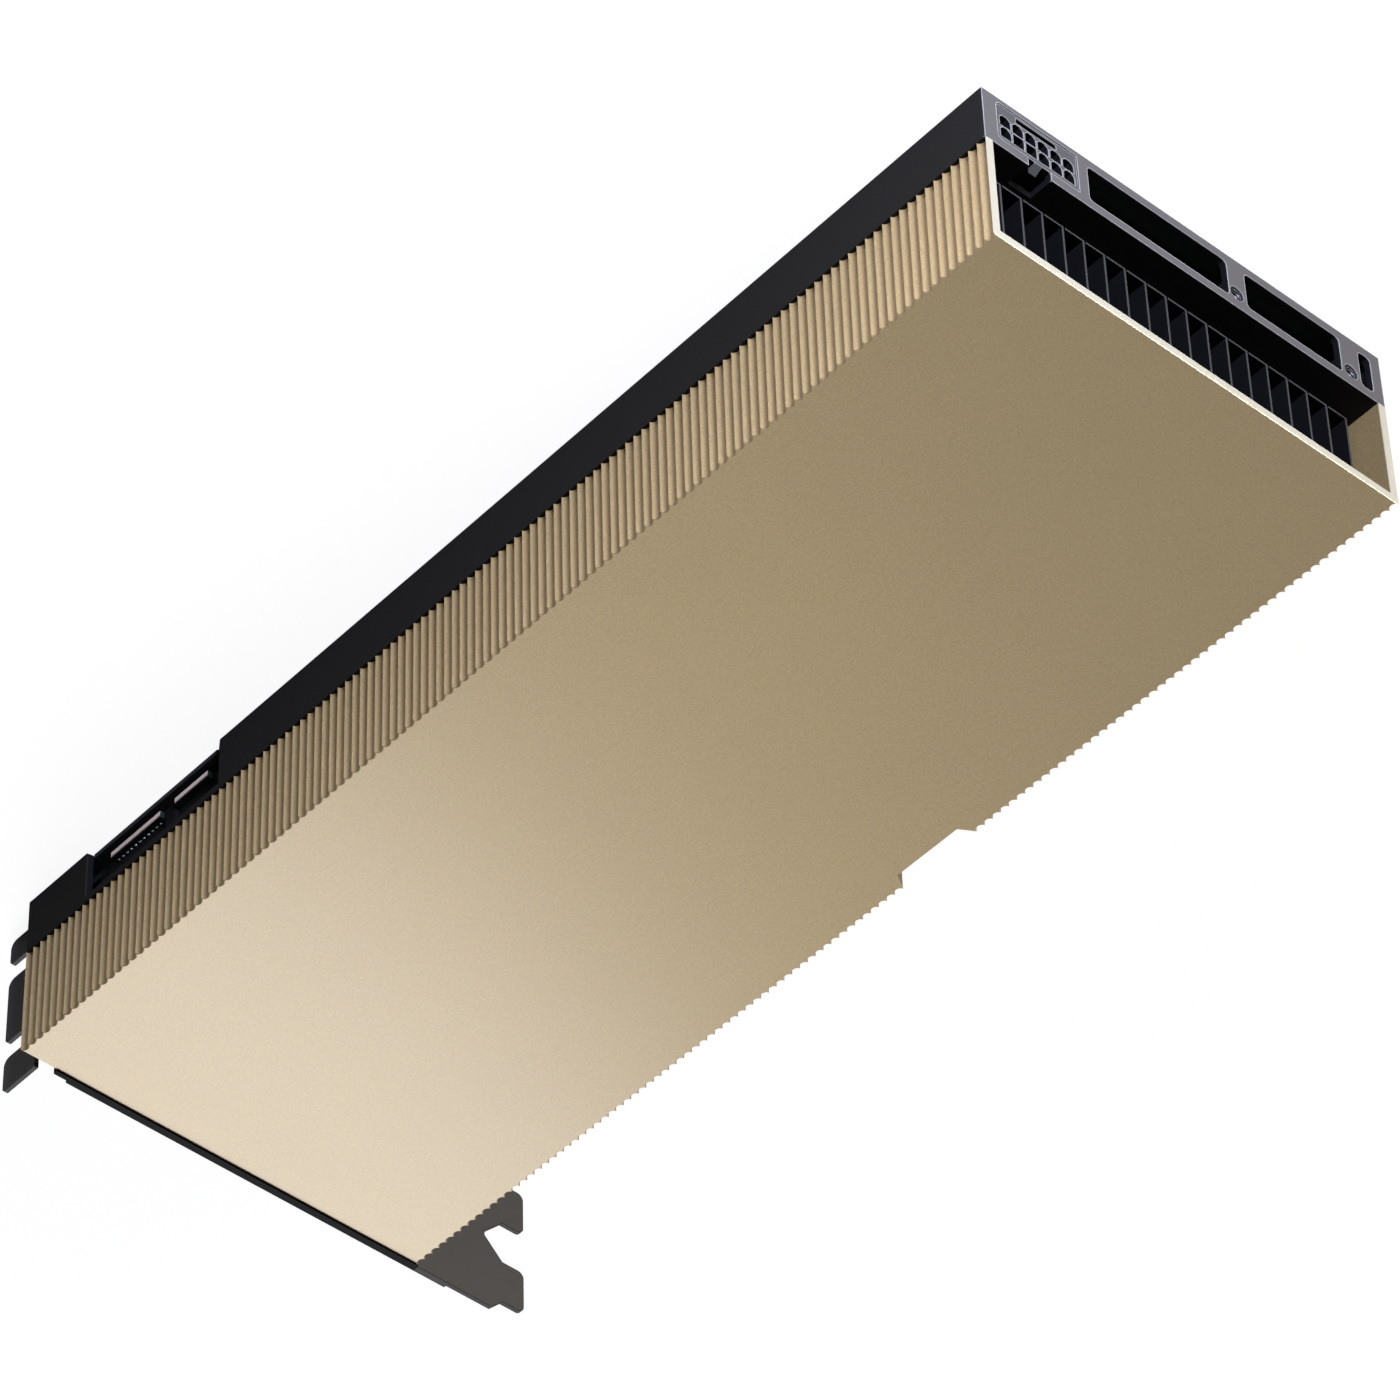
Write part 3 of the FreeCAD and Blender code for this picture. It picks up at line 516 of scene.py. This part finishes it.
def cover_skin():
    """U-shaped shell with chamfered edges on its face and at the foot of its flutes."""
    slot_side = fluted_run(0, notch_start, 0, 1) + notch_outline(0)[:3]
    slot_side += fluted_run(notch_end, body_length, 0, 1) + [(body_length, 0)]
    top_side = fluted_run(body_length, 0, body_height, -1) + [(0, body_height)]
    outline = slot_side + top_side
    count, turn = len(outline), len(slot_side)
    inset = inset_loop(outline, cover_chamfer)
    foot = list(inset)
    for i, x in ((0, 0), (turn - 1, body_length), (turn, body_length), (count - 1, 0)):
        foot[i] = (x, foot[i][1])
    levels = [(foot, frame_height), (outline, frame_height + cover_chamfer),
              (outline, body_thickness - cover_chamfer), (inset, body_thickness)]
    points = [(x, y, z) for loop, z in levels for x, y in loop]
    ends = (turn - 1, count - 1)
    top = len(levels) - 1
    faces = []
    for level in range(top):
        for i in range(count):
            if i in ends and level < top - 1:
                continue
            a, b = level * count + i, level * count + (i + 1) % count
            faces.append((a, b, b + count, a + count))
    faces.append(tuple(range(top * count, (top + 1) * count)))

    low_wall = [(0, cover_wall)] + notch_outline(cover_wall) + [(body_length, cover_wall)]
    high_wall = [(body_length, body_height - cover_wall), (0, body_height - cover_wall)]
    inner = low_wall + high_wall
    floor_start = len(points)
    points += [(x, y, frame_height) for x, y in inner]
    ceiling_start = len(points)
    points += [(x, y, duct_top) for x, y in inner]
    for i in range(len(inner) - 1):
        if i != len(low_wall) - 1:
            a, b = floor_start + i, ceiling_start + i
            faces.append((a, a + 1, b + 1, b))
    faces.append(tuple(range(ceiling_start, ceiling_start + len(inner))))

    low_floor = list(range(floor_start, floor_start + len(low_wall)))
    high_floor = [floor_start + len(low_wall), floor_start + len(low_wall) + 1]
    faces.append(tuple(range(turn)) + tuple(reversed(low_floor)))
    faces.append(tuple(range(turn, count)) + tuple(reversed(high_floor)))
    rise = ceiling_start - floor_start
    for low_corner, high_corner, low_inner, high_inner in (
            (turn - 1, turn, low_floor[-1], high_floor[0]),
            (0, count - 1, low_floor[0], high_floor[1])):
        faces.append((low_corner, low_corner + count, low_corner + 2 * count,
                      high_corner + 2 * count, high_corner + count, high_corner,
                      high_inner, high_inner + rise, low_inner + rise, low_inner))
    return points, faces


def make_cover():
    """Cover with finer flutes, and the bosses that its bracket screws go into."""
    half = boss_width / 2
    bosses = [box_skin(0, boss_length, y - half, y + half, duct_top - boss_drop, duct_top)
              for y in bracket_screw_y]
    points, faces = joined([cover_skin()] + bosses)
    cover = mesh_piece("fluted_cover", points, faces, "champagne_aluminium")
    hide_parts("heatsink_cover")


# Screws

def screw_skin(centre, outward, rings):
    """Turned screw with a star recess: rings are (radius, height) from its tip to its face."""
    across = outward.orthogonal().normalized()
    along = outward.cross(across)

    def ring(radius, height, ripple=0.0):
        loop = []
        for i in range(screw_sides):
            angle = tau * i / screw_sides
            reach = radius + ripple * cos(star_points * angle)
            spoke = across * cos(angle) + along * sin(angle)
            loop.append(tuple(centre + outward * height + spoke * reach))
        return loop

    top = rings[-1][1]
    loops = [ring(radius, height) for radius, height in rings]
    loops.append(ring(star_radius, top, star_ripple))
    loops.append(ring(star_radius, top - star_depth, star_ripple))
    return loft(loops)


def make_backplate_screws():
    """Countersunk screws, flush with the backplate."""
    low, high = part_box("backplate_screws")
    length = (high.z - low.z) / mm
    rings = [(shank_radius, -length), (shank_radius, -head_height),
             (head_radius - head_ease, -screw_rim), (head_radius, -head_ease),
             (head_radius - head_ease, 0)]
    skins = [screw_skin(Vector((x, y, low.z / mm)), Vector((0, 0, -1)), rings)
             for x, y in centres("backplate_screws", (0, 1))]
    points, faces = joined(skins)
    piece = mesh_piece("backplate_star_screws", points, faces, "screw_steel")
    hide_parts("backplate_screws")


def make_bracket_screws():
    """Flat-headed screws on the bracket's outer face."""
    low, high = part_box("bracket_screws")
    face = (low.x - cover_low.x) / mm
    length = (high.x - low.x) / mm
    rings = [(shank_radius, -length), (shank_radius, -head_height), (head_radius, -head_height),
             (head_radius, -screw_rim), (head_radius - screw_rim, 0)]
    skins = [screw_skin(Vector((face, y, z)), Vector((-1, 0, 0)), rings)
             for y in bracket_screw_y for z in bracket_screw_z]
    points, faces = joined(skins)
    piece = mesh_piece("bracket_star_screws", points, faces, "screw_steel")
    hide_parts("bracket_screws")


def centres(node, axes):
    """Middle of each separate solid of a node along two axes, in millimetres on the card."""
    mesh = nodes[node].data
    group = list(range(len(mesh.vertices)))

    def root(i):
        while group[i] != i:
            i = group[i]
        return i

    seen = {}
    for vertex in mesh.vertices:
        key = tuple(round(c / mm, 3) for c in vertex.co)
        group[vertex.index] = seen.setdefault(key, vertex.index)
    for edge in mesh.edges:
        a, b = (root(i) for i in edge.vertices)
        group[a] = b
    solids = {}
    for vertex in mesh.vertices:
        solids.setdefault(root(vertex.index), []).append((vertex.co - at(0, 0, 0)) / mm)
    return [tuple((min(p[a] for p in members) + max(p[a] for p in members)) / 2 for a in axes)
            for members in solids.values()]


# Fine metalwork

def make_slot_contacts():
    """Gold pads on both faces of the board's edge."""
    low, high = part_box("circuit_board")
    y0 = (low.y - cover_low.y) / mm + contact_margin
    half = contact_width / 2
    pads = []
    for start, end in contact_runs:
        count = int((end - start) / contact_pitch)
        first = (start + end) / 2 - contact_pitch * (count - 1) / 2
        for i in range(count):
            x = first + contact_pitch * i
            for z in (low.z / mm - contact_thickness, high.z / mm):
                pads.append(box_skin(x - half, x + half, y0, y0 + contact_length,
                                     z, z + contact_thickness))
    points, faces = joined(pads)
    mesh_piece("slot_contacts", points, faces, "gold_plating")


def thread_skin(y, z):
    """Helical ridge on the wall of a hole along X."""
    turns = thread_length / thread_pitch
    mouth = body_length - thread_inset
    section = ((tail_hole_radius, -thread_foot), (tail_hole_radius - thread_depth, 0),
               (tail_hole_radius, thread_foot))
    points = []
    for i in range(int(turns * thread_steps) + 1):
        angle = tau * i / thread_steps
        x = mouth - thread_pitch * i / thread_steps
        for reach, shift in section:
            points.append((x + shift * thread_pitch, y + reach * cos(angle),
                           z + reach * sin(angle)))
    faces = []
    for i in range(0, len(points) - 3, 3):
        faces += [(i, i + 1, i + 4, i + 3), (i + 1, i + 2, i + 5, i + 4),
                  (i + 2, i, i + 3, i + 5)]
    faces += [(0, 2, 1), (len(points) - 3, len(points) - 2, len(points) - 1)]
    return points, faces


def make_threads():
    """Threads in both bracket holes of the tail wall."""
    points, faces = joined([thread_skin(y, tail_hole_z) for y in tail_hole_y])
    mesh_piece("tail_hole_threads", points, faces, "cut_thread")


def make_tab_edges():
    """Bare laminate and a copper line on the edge of each bridge tab."""
    low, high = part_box("circuit_board")
    edge = (high.y - cover_low.y) / mm
    for name, band, slot in (("tab_laminate", laminate_band, "bare_laminate"),
                             ("tab_copper", copper_band, "copper_line")):
        strips = [box_skin(start + tab_margin, end - tab_margin, edge, edge + tab_edge_proud,
                           low.z / mm + band[0], low.z / mm + band[1]) for start, end in tab_spans]
        points, faces = joined(strips)
        mesh_piece(name, points, faces, slot)


def make_solder_points():
    """Row of low round solder points at the root of the first tab."""
    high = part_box("circuit_board")[1]
    y = (high.y - cover_low.y) / mm - solder_inset
    top = high.z / mm
    skins = []
    for i in range(solder_count):
        x = solder_start + solder_pitch * i
        loops = []
        for width, rise in solder_section:
            radius, z = solder_radius * width, top + solder_height * rise
            loops.append([(x + radius * cos(tau * k / solder_sides),
                           y + radius * sin(tau * k / solder_sides), z)
                          for k in range(solder_sides)])
        skins.append(loft(loops))
    points, faces = joined(skins)
    mesh_piece("solder_points", points, faces, "solder", smooth_angle=60)


def dress_nodes():
    """Finish of its slot on every solid."""
    for name, piece in nodes.items():
        piece.data.materials.clear()
        piece.data.materials.append(finishes[slot_of[name]])


# Stage

def area_light(name, place, target, size, power, colour, height=None):
    """Round lamp, or a strip where it has a height."""
    data = bpy.data.lights.new(name, "AREA")
    data.shape = "RECTANGLE" if height else "DISK"
    data.size = size
    data.size_y = height or size
    data.energy = power
    data.color = colour
    lamp = bpy.data.objects.new(name, data)
    lamp.location = at(*place)
    lamp.rotation_mode = "QUATERNION"
    lamp.rotation_quaternion = (at(*target) - at(*place)).to_track_quat("-Z", "Y")
    bpy.context.scene.collection.objects.link(lamp)


def make_floor():
    """Pale floor that looks white to the eye and keeps the shadow; in reflections it glows, dimmer
    beside the card as a painted shadow.
    """
    mesh = bpy.data.meshes.new("floor")
    corners = ((-1, -1), (1, -1), (1, 1), (-1, 1))
    mesh.from_pydata([(x * floor_size, y * floor_size, 0) for x, y in corners], [], [(0, 1, 2, 3)])
    floor = bpy.data.objects.new("floor", mesh)
    bpy.context.scene.collection.objects.link(floor)
    material = bpy.data.materials.new("floor")
    material.use_nodes = True
    tree = material.node_tree
    shader = tree.nodes["Principled BSDF"]
    shader.inputs["Base Color"].default_value = (floor_tone, floor_tone, floor_tone, 1)
    shader.inputs["Roughness"].default_value = floor_roughness
    shader.inputs["Specular IOR Level"].default_value = 0.0
    shader.inputs["Emission Color"].default_value = (1, 1, 1, 1)
    ray = tree.nodes.new("ShaderNodeLightPath")
    mirrored = tree.nodes.new("ShaderNodeMath")
    mirrored.operation = "MAXIMUM"
    tree.links.new(ray.outputs["Is Glossy Ray"], mirrored.inputs[0])
    tree.links.new(ray.outputs["Is Transmission Ray"], mirrored.inputs[1])
    glow = tree.nodes.new("ShaderNodeMath")
    glow.operation = "MULTIPLY"
    tree.links.new(mirrored.outputs["Value"], glow.inputs[0])
    tree.links.new(glow_with_painted_shadow(tree), glow.inputs[1])
    seen = tree.nodes.new("ShaderNodeMath")
    seen.operation = "MULTIPLY_ADD"
    seen.inputs[1].default_value = floor_glow
    tree.links.new(ray.outputs["Is Camera Ray"], seen.inputs[0])
    tree.links.new(glow.outputs["Value"], seen.inputs[2])
    tree.links.new(seen.outputs["Value"], shader.inputs["Emission Strength"])
    floor.data.materials.append(material)
    floor.location.z = -floor_drop * mm


def glow_with_painted_shadow(tree):
    """Glow of the floor, dimmer beside the card as a painted shadow, by distance from the card's
    footprint.
    """
    middle = (cover_low + cover_high) / 2
    half = (cover_high - cover_low) / 2
    place = tree.nodes.new("ShaderNodeTexCoord")
    last = place.outputs["Object"]
    for operation, value in (("SUBTRACT", (middle.x, middle.y, 0)), ("ABSOLUTE", None),
                             ("SUBTRACT", (half.x, half.y, 0)), ("MAXIMUM", (0, 0, 0)),
                             ("LENGTH", None)):
        step = tree.nodes.new("ShaderNodeVectorMath")
        step.operation = operation
        tree.links.new(last, step.inputs[0])
        if value:
            step.inputs[1].default_value = value
        last = step.outputs["Value" if operation == "LENGTH" else "Vector"]
    fade = tree.nodes.new("ShaderNodeMapRange")
    fade.interpolation_type = "SMOOTHSTEP"
    fade.inputs["From Min"].default_value = fade_start * mm
    fade.inputs["From Max"].default_value = fade_end * mm
    fade.inputs["To Min"].default_value = painted_shadow_glow
    fade.inputs["To Max"].default_value = floor_glow
    tree.links.new(last, fade.inputs["Value"])
    return fade.outputs["Result"]


def make_world():
    """Room that is white to the eye, and in reflections dark between its walls and ceiling."""
    world = bpy.data.worlds.new("studio")
    world.use_nodes = True
    tree = world.node_tree
    background = tree.nodes["Background"]
    background.inputs["Color"].default_value = (1, 1, 1, 1)
    place = tree.nodes.new("ShaderNodeTexCoord")
    parts = tree.nodes.new("ShaderNodeSeparateXYZ")
    tree.links.new(place.outputs["Generated"], parts.inputs["Vector"])
    room = tree.nodes.new("ShaderNodeValToRGB")
    room.color_ramp.interpolation = "EASE"
    stops = room.color_ramp.elements
    while len(stops) < len(room_glow):
        stops.new(1.0)
    for stop, (rise, glow) in zip(stops, room_glow):
        stop.position = rise
        stop.color = (glow, glow, glow, 1)
    tree.links.new(parts.outputs["Z"], room.inputs["Fac"])
    ray = tree.nodes.new("ShaderNodeLightPath")
    level = None
    for kind, value in (("Is Glossy Ray", room.outputs["Color"]),
                        ("Is Transmission Ray", room.outputs["Color"]), ("Is Camera Ray", None)):
        step = tree.nodes.new("ShaderNodeMix")
        tree.links.new(ray.outputs[kind], step.inputs["Factor"])
        if level:
            tree.links.new(level, step.inputs["A"])
        else:
            step.inputs["A"].default_value = room_light
        if value:
            tree.links.new(value, step.inputs["B"])
        else:
            step.inputs["B"].default_value = 1.0
        level = step.outputs["Result"]
    tree.links.new(level, background.inputs["Strength"])
    bpy.context.scene.world = world


def make_lights():
    """Key light, a fill on the cover's face, and a low strip each for the tail and the flutes."""
    for name, lamp in lamps.items():
        area_light(name, *lamp)


def make_camera():
    """Camera from its place and the directions of its right and up."""
    data = bpy.data.cameras.new("camera")
    data.lens = camera_lens
    data.sensor_width = camera_sensor
    data.clip_start = camera_near
    data.clip_end = camera_far
    camera = bpy.data.objects.new("camera", data)
    back = camera_right.cross(camera_up)
    turn = Matrix((camera_right, camera_up, back)).transposed().to_4x4()
    camera.matrix_world = Matrix.Translation(at(*camera_place)) @ turn
    bpy.context.scene.collection.objects.link(camera)
    bpy.context.scene.camera = camera


finishes = make_finishes()
dress_nodes()
make_cover()
make_backplate_screws()
make_bracket_screws()
make_slot_contacts()
make_threads()
make_tab_edges()
make_solder_points()
repaint_parts()
make_floor()
make_world()
make_lights()
make_camera()
bpy.context.scene.view_settings.view_transform = "Standard"
